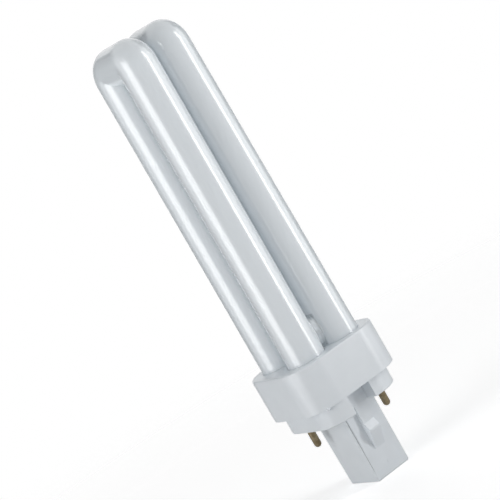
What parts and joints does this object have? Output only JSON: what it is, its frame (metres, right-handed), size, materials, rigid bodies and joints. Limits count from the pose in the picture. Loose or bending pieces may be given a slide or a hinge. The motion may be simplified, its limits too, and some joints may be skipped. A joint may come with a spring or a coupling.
{
  "type": "compact fluorescent lamp",
  "caption": "Plug-in compact fluorescent lamp: a white double twin glass tube in a square plastic cap with a latch plug and brass pins.",
  "frame": {"origin": "on the lamp's axis at the underside of the skirt, in the middle between the two contact pins, whose flanges end 0.2 mm below it", "axes": "+Z along the tubes, away from the plug; -Y is the latch face beside the keyway notch; X runs across the plug's short side"},
  "size_m": [0.0342, 0.0342, 0.1495],
  "materials": {
    "phosphor_glass": "gloss, white phosphor seen through clear glass",
    "cap_plastic": "semi-gloss moulded",
    "pin_brass": "polished",
    "cement": "matte",
    "starter_glass": "clear",
    "capacitor_resin": "dipped resin",
    "tinned_metal": "tinned",
    "sleeve_fabric": "woven glass fibre"
  },
  "bodies": {
    "root": {"discharge_tube": "phosphor_glass", "collar": "cap_plastic", "base_housing": "cap_plastic", "contact_pin_left": "pin_brass", "contact_pin_right": "pin_brass", "tube_cement": "cement", "starter_bulb": "starter_glass", "capacitor_body": "capacitor_resin", "splice_left": "tinned_metal", "splice_right": "tinned_metal", "starter_lead_left": "tinned_metal", "capacitor_lead_left": "tinned_metal", "electrode_wire_pin_left": "tinned_metal", "electrode_wire_splice_left": "tinned_metal", "wire_sleeve_pin_left": "sleeve_fabric", "wire_sleeve_splice_left": "sleeve_fabric", "starter_lead_right": "tinned_metal", "capacitor_lead_right": "tinned_metal", "electrode_wire_pin_right": "tinned_metal", "electrode_wire_splice_right": "tinned_metal", "wire_sleeve_pin_right": "sleeve_fabric", "wire_sleeve_splice_right": "sleeve_fabric"}
  },
  "joints": []
}
